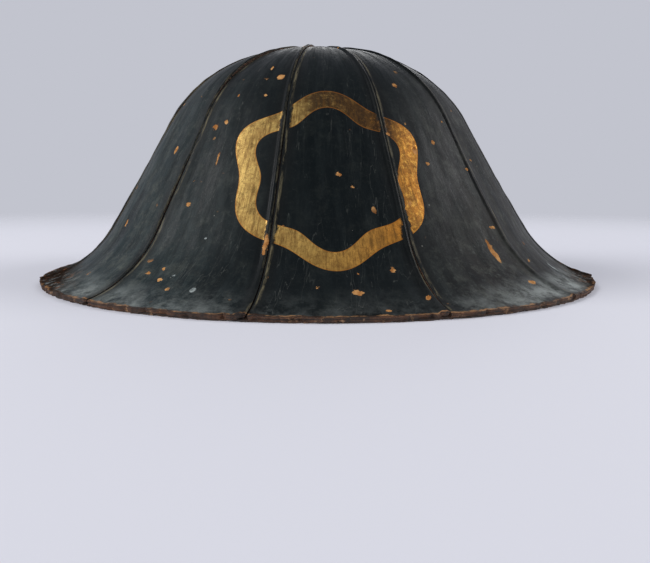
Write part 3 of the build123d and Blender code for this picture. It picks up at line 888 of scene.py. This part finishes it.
class HELMET_OT_crown(bpy.types.Operator):
    """Models the cap and the rivet at the top of the crown, and finishes the disc and burr inside"""
    bl_idname = "helmet.crown"
    bl_label = "Crown fastening"

    def execute(self, context):
        _, _, meridian = sizes(context)
        cap_height = 1.0 * MM
        # Radius and lift of the cap's edge and top, in millimetres
        profile = ((10.9, 0.2), (10.9, 0.6), (9.5, 0.95), (7, 1), (5, 1), (2.7, 1), (2.7, 0.2), (10.9, 0.2))
        line = [Vector(meridian.place(meridian.up_at_radius(radius * MM), 0, lift * MM))
                for radius, lift in profile]
        cap = spun("crown_patch", line, 2 * pi, 48)
        smooth(cap)
        finished(cap, "helmet", "black_iron", ["black_iron"], "crown_cap")
        outline = ((0, 1.2), (1.6, 1.1), (3.2, 0.75), (4.2, 0.2), (4.4, 0), (2.4, 0), (2.4, -8), (0, -8))
        rivet = turned("crown_rivet_domed", outline, 24, meridian.heights[-1] + cap_height)
        finished(rivet, "helmet", "black_iron", ["black_iron"], "crown_rivet")
        for name, finish in (("crown_disc", "oiled_leather"), ("crown_burr", "black_iron")):
            shown = frame["nodes"][name].data
            shown.materials.clear()
            shown.materials.append(material(finish))
        return {"FINISHED"}


# ---------------------------------------------------------------- the lining

def lay_cloth(piece, *measures):
    """Lays the piece's UV map out in metres for its weave, each measure with the length of one round or 0."""
    layer = piece.data.uv_layers.active or piece.data.uv_layers.new(name="weave")
    loops = np.empty(len(piece.data.loops), int)
    piece.data.loops.foreach_get("vertex_index", loops)
    sides = np.array([len(face.vertices) for face in piece.data.polygons])
    first = np.repeat(np.cumsum(sides) - sides, sides)
    columns = []
    for measure, one_round in measures:
        column = measure[loops]
        if one_round:
            # A face that crosses the end of a round is kept whole
            column += one_round * np.round((column[first] - column) / one_round)
        columns.append(column)
    layer.data.foreach_set("uv", np.stack(columns, axis=1).ravel())


class HELMET_OT_liner(bpy.types.Operator):
    """Models the quilted liner that hangs under the crown"""
    bl_idname = "helmet.liner"
    bl_label = "Quilted liner"

    def execute(self, context):
        _, lining, meridian = sizes(context)
        lift, panel_pairs, middle_radius = meridian.lifts["liner"], 12, 120 * MM
        ups = np.linspace(meridian.slope_foot + 13 * MM, meridian.up_at_radius(13 * MM), 90)
        liner = spun("quilted_liner", meridian.line(ups, 0, lift), 2 * pi, 288)
        outer = corners_of(liner)
        modify(liner, "SOLIDIFY", thickness=lining.liner_thickness, offset=-1)
        places = corners_of(liner)
        inner = places[len(outer):]
        up = meridian.up_at_height(outer[:, 2] - lift * 0.5)
        turn, _ = round_axis(outer)
        # The wadding puffs up between the rows of quilting
        rows = np.abs(np.sin(pi * (up - ups[0]) / lining.quilt_spacing))
        panels = np.abs(np.sin(turn * panel_pairs))
        share = (0.42 + 0.58 * np.sqrt(rows) * np.sqrt(panels))[:, None]
        places[len(outer):] = outer + (inner - outer) * share
        move_corners(liner, places)
        smooth(liner, radians(60))
        turn, _ = round_axis(places)
        up = meridian.up_at_height(places[:, 2])
        lay_cloth(liner, (turn * middle_radius, 2 * pi * middle_radius), (up, 0))
        finished(liner, "helmet", "liner_cloth", ["indigo_hemp"], "liner")
        return {"FINISHED"}


class HELMET_OT_liner_band(bpy.types.Operator):
    """Models the leather band that holds the hem of the liner"""
    bl_idname = "helmet.liner_band"
    bl_label = "Liner band"

    def execute(self, context):
        _, lining, meridian = sizes(context)
        ups = meridian.slope_foot + BAND_FOOT + np.linspace(0, lining.band_width, 16)
        band = spun("liner_band_leather", meridian.line(ups, 0, meridian.lifts["band"]), 2 * pi, 240)
        band.data.materials.append(material("band_leather"))
        band.data.materials.append(material("hemp_thread"))
        modify(band, "SOLIDIFY", thickness=BAND_THICKNESS, offset=-1)
        modify(band, "BEVEL", width=0.5 * MM, segments=3, limit_method="ANGLE")
        smooth(band)
        band = joined([band] + self.stitches(meridian, lining), "stitched_liner_band")
        finished(band, "helmet", "band_leather", ["band_leather", "hemp_thread"], "liner_band")
        return {"FINISHED"}

    def stitches(self, meridian, lining):
        """Two rows of saddle stitches in hemp thread, a little inside the edges of the band."""
        inside_edge, count = 3 * MM, 100
        stitch = added("stitch_blank", bpy.ops.mesh.primitive_cylinder_add, vertices=8, radius=0.38 * MM,
                       depth=4.2 * MM, rotation=(0, pi / 2, 0))
        bpy.ops.object.transform_apply(rotation=True)
        modify(stitch, "BEVEL", width=0.2 * MM, segments=1, limit_method="ANGLE", angle_limit=radians(60))
        smooth(stitch, radians(50))
        stitch.data.materials.append(material("band_leather"))
        stitch.data.materials.append(material("hemp_thread"))
        for face in stitch.data.polygons:
            face.material_index = 1
        copies = []
        for row in (inside_edge, lining.band_width - inside_edge):
            up = meridian.slope_foot + BAND_FOOT + row
            for number in range(count):
                spot = meridian.frame_on(up, 2 * pi * number / count, meridian.lifts["band_face"])
                copies.append(copy_of(stitch, "stitch_copy", spot))
        delete(stitch)
        return copies


def strap_path(lining):
    """Line of a strap that loops round the roll, in the slope's own frame: along it and inwards."""
    loop, bend = lining.roll_radius + 0.7 * MM, 3.2 * MM
    middle = lining.roll_radius - 0.1 * MM
    reach = lining.band_width / 2 - 1 * MM
    span = sqrt((loop + bend) ** 2 - (middle - bend) ** 2)
    turn = pi / 2 + asin((middle - bend) / (loop + bend))
    foot = [(-reach, 0), (-(reach + span) / 2, 0)]
    foot += [(-span + bend * sin(angle), bend - bend * cos(angle)) for angle in np.linspace(0, turn, 8)]
    past = turn - pi / 2
    over = [(loop * cos(angle), middle + loop * sin(angle)) for angle in np.linspace(pi + past, -past, 26)]
    return foot + over + [(-along, inward) for along, inward in reversed(foot)]


class HELMET_OT_roll_straps(bpy.types.Operator):
    """Models the leather strap that loops round the head roll, and copies it"""
    bl_idname = "helmet.roll_straps"
    bl_label = "Roll straps"

    def execute(self, context):
        _, lining, meridian = sizes(context)
        half, steps = lining.strap_width / 2, 6
        strap = drawn_line("roll_strap_blank", [Vector((-half, *place)) for place in strap_path(lining)])
        for _ in range(steps):
            move = {"value": (lining.strap_width / steps, 0, 0)}
            bpy.ops.mesh.extrude_region_move(TRANSFORM_OT_translate=move)
        bpy.ops.mesh.select_all(action="SELECT")
        bpy.ops.mesh.remove_doubles(threshold=0.01 * MM)
        bpy.ops.mesh.normals_make_consistent(inside=False)
        bpy.ops.object.mode_set(mode="OBJECT")
        # The strap is as thick as its leather on the side that faces in at its feet
        foot = min(strap.data.polygons, key=lambda face: face.center.z)
        if foot.normal.z < 0:
            strap.data.flip_normals()
        modify(strap, "SOLIDIFY", thickness=STRAP_THICKNESS, offset=1)
        modify(strap, "BEVEL", width=0.35 * MM, segments=2, limit_method="ANGLE")
        smooth(strap, radians(50))
        middle = meridian.slope_foot + BAND_FOOT + lining.band_width / 2
        for number in range(STRAP_COUNT):
            azimuth = (number + 0.5) * 2 * pi / STRAP_COUNT
            spot = meridian.frame_on(middle, azimuth, meridian.lifts["strap"])
            copy = copy_of(strap, f"leather_roll_strap_{number + 1}", spot)
            finished(copy, "helmet", "band_leather", ["band_leather"], f"roll_strap_{number + 1}")
        delete(strap)
        return {"FINISHED"}


class HELMET_OT_liner_rivets(bpy.types.Operator):
    """Models the brass rivets through the straps and the band"""
    bl_idname = "helmet.liner_rivets"
    bl_label = "Liner rivets"

    def execute(self, context):
        _, _, meridian = sizes(context)
        outline = ((0, 1.25), (1.2, 1.15), (2.3, 0.8), (3, 0.3), (3.2, -0.05), (1.3, -0.05), (1.3, -9),
                   (0, -9))
        rivet = turned("rivet_blank", outline, 20)
        lift = meridian.lifts["strap"] - STRAP_THICKNESS
        copies = []
        for number in range(STRAP_COUNT):
            azimuth = (number + 0.5) * 2 * pi / STRAP_COUNT
            for row in RIVET_ROWS:
                spot = meridian.frame_on(meridian.slope_foot + row, azimuth, lift)
                copies.append(copy_of(rivet, "rivet_copy", spot))
        delete(rivet)
        finished(joined(copies, "domed_liner_rivets"), "helmet", "brass", ["dull_brass"], "liner_rivets")
        return {"FINISHED"}


class HELMET_OT_head_roll(bpy.types.Operator):
    """Models the stuffed head roll, nipped in by its straps"""
    bl_idname = "helmet.head_roll"
    bl_label = "Head roll"

    def execute(self, context):
        _, lining, meridian = sizes(context)
        gather_count, nip_depth, gather_depth = 9, 0.9 * MM, 0.35 * MM
        middle = meridian.slope_foot + BAND_FOOT + lining.band_width / 2
        centre = meridian.place(middle, 0, meridian.lifts["roll"])
        ring, height = -centre[1], centre[2]
        roll = added("stuffed_head_roll", bpy.ops.mesh.primitive_torus_add, major_radius=ring,
                     minor_radius=lining.roll_radius, major_segments=360, minor_segments=32)
        places = corners_of(roll)
        turn, radius = round_axis(places)
        apart = 2 * pi / STRAP_COUNT
        from_strap = np.abs((turn / apart) % 1 - 0.5) * apart * ring
        round_tube = np.arctan2(places[:, 2], radius - ring)
        # The straps nip it in and gather its cloth, and its stuffing is lumpy
        nip = nip_depth * (1 - ease(from_strap, 4 * MM, 22 * MM))
        gathers = gather_depth * np.sin(round_tube * gather_count) * (1 - ease(from_strap, 6 * MM, 26 * MM))
        lumps = 0.35 * MM * wander(places, 14 * MM, 5)
        tube = lining.roll_radius - nip_depth - nip + gathers + lumps
        self.set_tube(roll, ring, height, turn, tube, round_tube)
        stuffed(roll, 1 - 0.95 * ease(from_strap, 5 * MM, 12 * MM), 0.05, 1.6 * MM)
        # It swells no further than the roll's own radius
        places = corners_of(roll)
        turn, radius = round_axis(places)
        across, upward = radius - ring, places[:, 2] - height
        tube = np.minimum(np.hypot(across, upward), lining.roll_radius)
        self.set_tube(roll, ring, height, turn, tube, np.arctan2(upward, across))
        smooth(roll, radians(80))
        tube = lining.roll_radius
        lay_cloth(roll, (turn * ring, 2 * pi * ring), (round_tube * tube, 2 * pi * tube))
        finished(roll, "helmet", "roll_cloth", ["indigo_hemp"], "head_roll")
        return {"FINISHED"}

    def set_tube(self, roll, ring, height, turn, tube, round_tube):
        """Puts the roll's corners at these distances from the line through its middle."""
        radius = ring + tube * np.cos(round_tube)
        upward = height + tube * np.sin(round_tube)
        move_corners(roll, np.stack([radius * np.sin(turn), -radius * np.cos(turn), upward], axis=1))


class HELMET_OT_crown_pad(bpy.types.Operator):
    """Models the round cushion under the top of the liner"""
    bl_idname = "helmet.crown_pad"
    bl_label = "Crown pad"

    def execute(self, context):
        _, lining, meridian = sizes(context)
        reach, thickness, edge_step, pleat_count = lining.pad_radius, 9.5 * MM, 1.2 * MM, 16
        shares = np.linspace(1, 0, 18)
        lift = meridian.lifts["pad"]
        top = [meridian.place(meridian.up_at_radius(reach * share), 0, lift)[2] for share in shares]
        line = [Vector((0, -reach * share, height)) for share, height in zip(shares, top)]
        for share, height in zip(shares[::-1], top[::-1]):
            # It is drawn in at its middle, and rounded off towards its edge
            depth = thickness * sqrt(max(0, 1 - share ** 4)) * (0.72 + 0.28 * ease(share, 0, 0.25))
            line.append(Vector((0, -reach * share, height - edge_step * (share < 1) - depth)))
        pad = spun("crown_cushion", line, 2 * pi, 96)
        places = corners_of(pad)
        turn, radius = round_axis(places)
        pleats = 0.4 * MM * np.sin(turn * pleat_count)
        pleats *= ease(radius, 6 * MM, 20 * MM) * (1 - ease(radius, 30 * MM, 36 * MM))
        lower = places[:, 2] < top[0] - 2 * MM
        places[:, 2] += np.where(lower, pleats, 0)
        move_corners(pad, places)
        # Eight seams meet at its middle
        seam = ease(np.abs(np.sin(turn * 4)) * radius, 0, 5 * MM)
        sewn = 1 - 0.95 * seam * ease(radius, 2 * MM, 9 * MM) * (1 - ease(radius, 33 * MM, 36 * MM))
        stuffed(pad, np.where(lower, sewn, 1), 0.05, 2.2 * MM)
        smooth(pad, radians(80))
        lay_cloth(pad, (places[:, 0], 0), (places[:, 1], 0))
        finished(pad, "helmet", "pad_cloth", ["indigo_hemp"], "crown_pad")
        return {"FINISHED"}


class HELMET_OT_cord_rings(bpy.types.Operator):
    """Models one chin-cord ring with its split pin and rosette, and copies them to the four corners"""
    bl_idname = "helmet.cord_rings"
    bl_label = "Cord rings"

    def execute(self, context):
        _, _, meridian = sizes(context)
        ring_radius, rosette_lift = 8.25 * MM, -2.95 * MM
        ring = self.bent_wire("cord_ring_blank", ring_radius, 1.25 * MM, 64)
        loop = self.bent_wire("pin_loop", 2.65 * MM, 0.88 * MM, 32)
        loop.data.transform(Matrix.Rotation(pi / 2, 4, "Y"))
        outline = ((0, -2.2), (0.7, -2.3), (1.15, -2.9), (1.2, -3.4), (1.2, -6.6), (0, -6.6))
        shank = turned("pin_shank", outline, 20)
        pin = joined([loop, shank], "split_pin_blank")
        smooth(pin)
        outline = ((1.6, 0), (5.4, 0), (5.5, 0.25), (5, 0.5), (4.4, 0.35), (3.6, 0.75), (2.4, 0.8),
                   (1.6, 0.75), (1.6, 0))
        rosette = turned("rosette_blank", outline, 36)
        joints = {joint["name"]: joint for joint in frame["record"]["behaviour"]["joints"]}
        for corner, degrees_round in CORNERS.items():
            azimuth = radians(degrees_round)
            eye = Vector(joints[f"{corner}_ring_swing"]["pos_m"])
            hang = Matrix.Translation(eye - Vector((0, 0, ring_radius))) @ Matrix.Rotation(azimuth, 4, "Z")
            hang = hang @ Matrix.Rotation(pi / 2, 4, "X")
            through = meridian.frame_on(meridian.slope_foot + PIN_UP, azimuth, 0)
            through.translation = eye
            seat = meridian.frame_on(meridian.slope_foot + PIN_UP, azimuth, rosette_lift)
            for blank, name, spot, body, stands_for in (
                    (ring, "cord_ring_round", hang, f"{corner}_ring", "cord_ring"),
                    (pin, "split_pin", through, "helmet", "ring_pin"),
                    (rosette, "rosette", seat, "helmet", "ring_rosette")):
                copy = copy_of(blank, f"{name}_{corner}", spot)
                finished(copy, body, "ring_iron", ["black_iron"], f"{stands_for}_{corner}")
        for blank in (ring, pin, rosette):
            delete(blank)
        return {"FINISHED"}

    def bent_wire(self, name, ring, wire, steps):
        """A ring of forged wire, a little uneven."""
        piece = added(name, bpy.ops.mesh.primitive_torus_add, major_radius=ring, minor_radius=wire,
                      major_segments=steps, minor_segments=16)
        places = corners_of(piece)
        places *= (1 + 0.02 * wander(places, 6 * MM, 9))[:, None]
        move_corners(piece, places)
        smooth(piece, radians(60))
        return piece


# ---------------------------------------------------------------- the stage and the add-on

class HELMET_OT_stage(bpy.types.Operator):
    """Makes the pale floor and background, the lamps and the camera"""
    bl_idname = "helmet.stage"
    bl_label = "Stage"

    def execute(self, context):
        floor = added("studio_floor", bpy.ops.mesh.primitive_circle_add, vertices=64, radius=1.8,
                      fill_type="NGON")
        floor.data.materials.append(material("seamless_paper"))
        self.world(context)
        lamps = (
            ("left_lamp", (-2.2, -0.25, 1.5), 1.5, 44), ("right_lamp", (2.2, -0.05, 1.3), 1.5, 28),
            ("front_lamp", (-0.45, -2.6, 0.6), 1.2, 19), ("rear_lamp", (0.4, 2.3, 1.2), 1.2, 10),
            ("under_lamp", (0.3, -0.5, -1.5), 1.5, 18))
        for name, place, size, power in lamps:
            lamp = added(name, bpy.ops.object.light_add, type="AREA", location=place)
            lamp.data.shape = "DISK"
            lamp.data.size = size
            lamp.data.energy = power
            lamp.rotation_mode = "QUATERNION"
            lamp.rotation_quaternion = (Vector(place) - Vector((0, 0, 0.07))).to_track_quat("Z", "Y")
        self.camera(context)
        return {"FINISHED"}

    def world(self, context):
        """The camera sees a plain pale background, while the room lights the helmet only faintly."""
        world = bpy.data.worlds.new("studio")
        context.scene.world = world
        world.use_nodes = True
        tree = world.node_tree
        tree.nodes.clear()
        path = node(tree, "LightPath").node.outputs
        seen = node(tree, "Math", {0: path["Is Camera Ray"], 1: path["Is Glossy Ray"]}, operation="MAXIMUM")
        seen = node(tree, "Math", {0: seen, 1: path["Is Transmission Ray"]}, operation="MAXIMUM")
        room = node(tree, "Background", {"Color": linear("#DDE0EA"), "Strength": 0.45})
        backdrop = node(tree, "Background", {"Color": linear("#C2C4CE"), "Strength": 1.0})
        shown = node(tree, "MixShader", {0: seen, 1: room, 2: backdrop})
        node(tree, "OutputWorld", {"Surface": shown})

    def camera(self, context):
        """Looks at the front from a little to the left and above the rim, from about half a metre away."""
        azimuth, distance, height = radians(-4.7), 481.5 * MM, 61 * MM
        pitch, aside, roll = radians(7.93), radians(0.53), radians(0.25)
        bpy.ops.object.camera_add()
        camera = context.active_object
        camera.data.lens = 38.7
        camera.data.sensor_width = 36
        camera.data.clip_start = 0.01
        place = Matrix.Translation((sin(azimuth) * distance, -cos(azimuth) * distance, height))
        turned = Matrix.Rotation(azimuth - aside, 4, "Z") @ Matrix.Rotation(pi / 2 - pitch, 4, "X")
        camera.matrix_world = place @ turned @ Matrix.Rotation(roll, 4, "Z")
        context.scene.camera = camera
        context.scene.view_settings.view_transform = "Standard"


class HELMET_PT_sidebar(bpy.types.Panel):
    """Lists the helmet's sizes, colours and pieces"""
    bl_label = "Helmet"
    bl_idname = "HELMET_PT_sidebar"
    bl_space_type = "VIEW_3D"
    bl_region_type = "UI"
    bl_category = "Helmet"

    def draw(self, context):
        for group in SETTINGS:
            values = getattr(context.scene, group)
            for name in values.__annotations__:
                self.layout.prop(values, name)
        for operator in OPERATORS:
            self.layout.operator(operator.bl_idname)


SETTINGS = {"helmet_shell": HelmetShell, "helmet_lining": HelmetLining, "helmet_colours": HelmetColours}
OPERATORS = (
    HELMET_OT_gores, HELMET_OT_seam_strips, HELMET_OT_rim_strips, HELMET_OT_crown, HELMET_OT_liner,
    HELMET_OT_liner_band, HELMET_OT_roll_straps, HELMET_OT_liner_rivets, HELMET_OT_head_roll,
    HELMET_OT_crown_pad, HELMET_OT_cord_rings, HELMET_OT_stage,
)


def register():
    for group in SETTINGS.values():
        bpy.utils.register_class(group)
    for name, group in SETTINGS.items():
        setattr(bpy.types.Scene, name, bpy.props.PointerProperty(type=group))
    for operator in OPERATORS:
        bpy.utils.register_class(operator)
    bpy.utils.register_class(HELMET_PT_sidebar)


def unregister():
    bpy.utils.unregister_class(HELMET_PT_sidebar)
    for operator in reversed(OPERATORS):
        bpy.utils.unregister_class(operator)
    for name, group in SETTINGS.items():
        delattr(bpy.types.Scene, name)
        bpy.utils.unregister_class(group)


def main():
    register()
    bpy.ops.helmet.gores()
    bpy.ops.helmet.seam_strips()
    bpy.ops.helmet.rim_strips()
    bpy.ops.helmet.crown()
    bpy.ops.helmet.liner()
    bpy.ops.helmet.liner_band()
    bpy.ops.helmet.roll_straps()
    bpy.ops.helmet.liner_rivets()
    bpy.ops.helmet.head_roll()
    bpy.ops.helmet.crown_pad()
    bpy.ops.helmet.cord_rings()
    bpy.ops.helmet.stage()


if __name__ == "__main__":
    main()
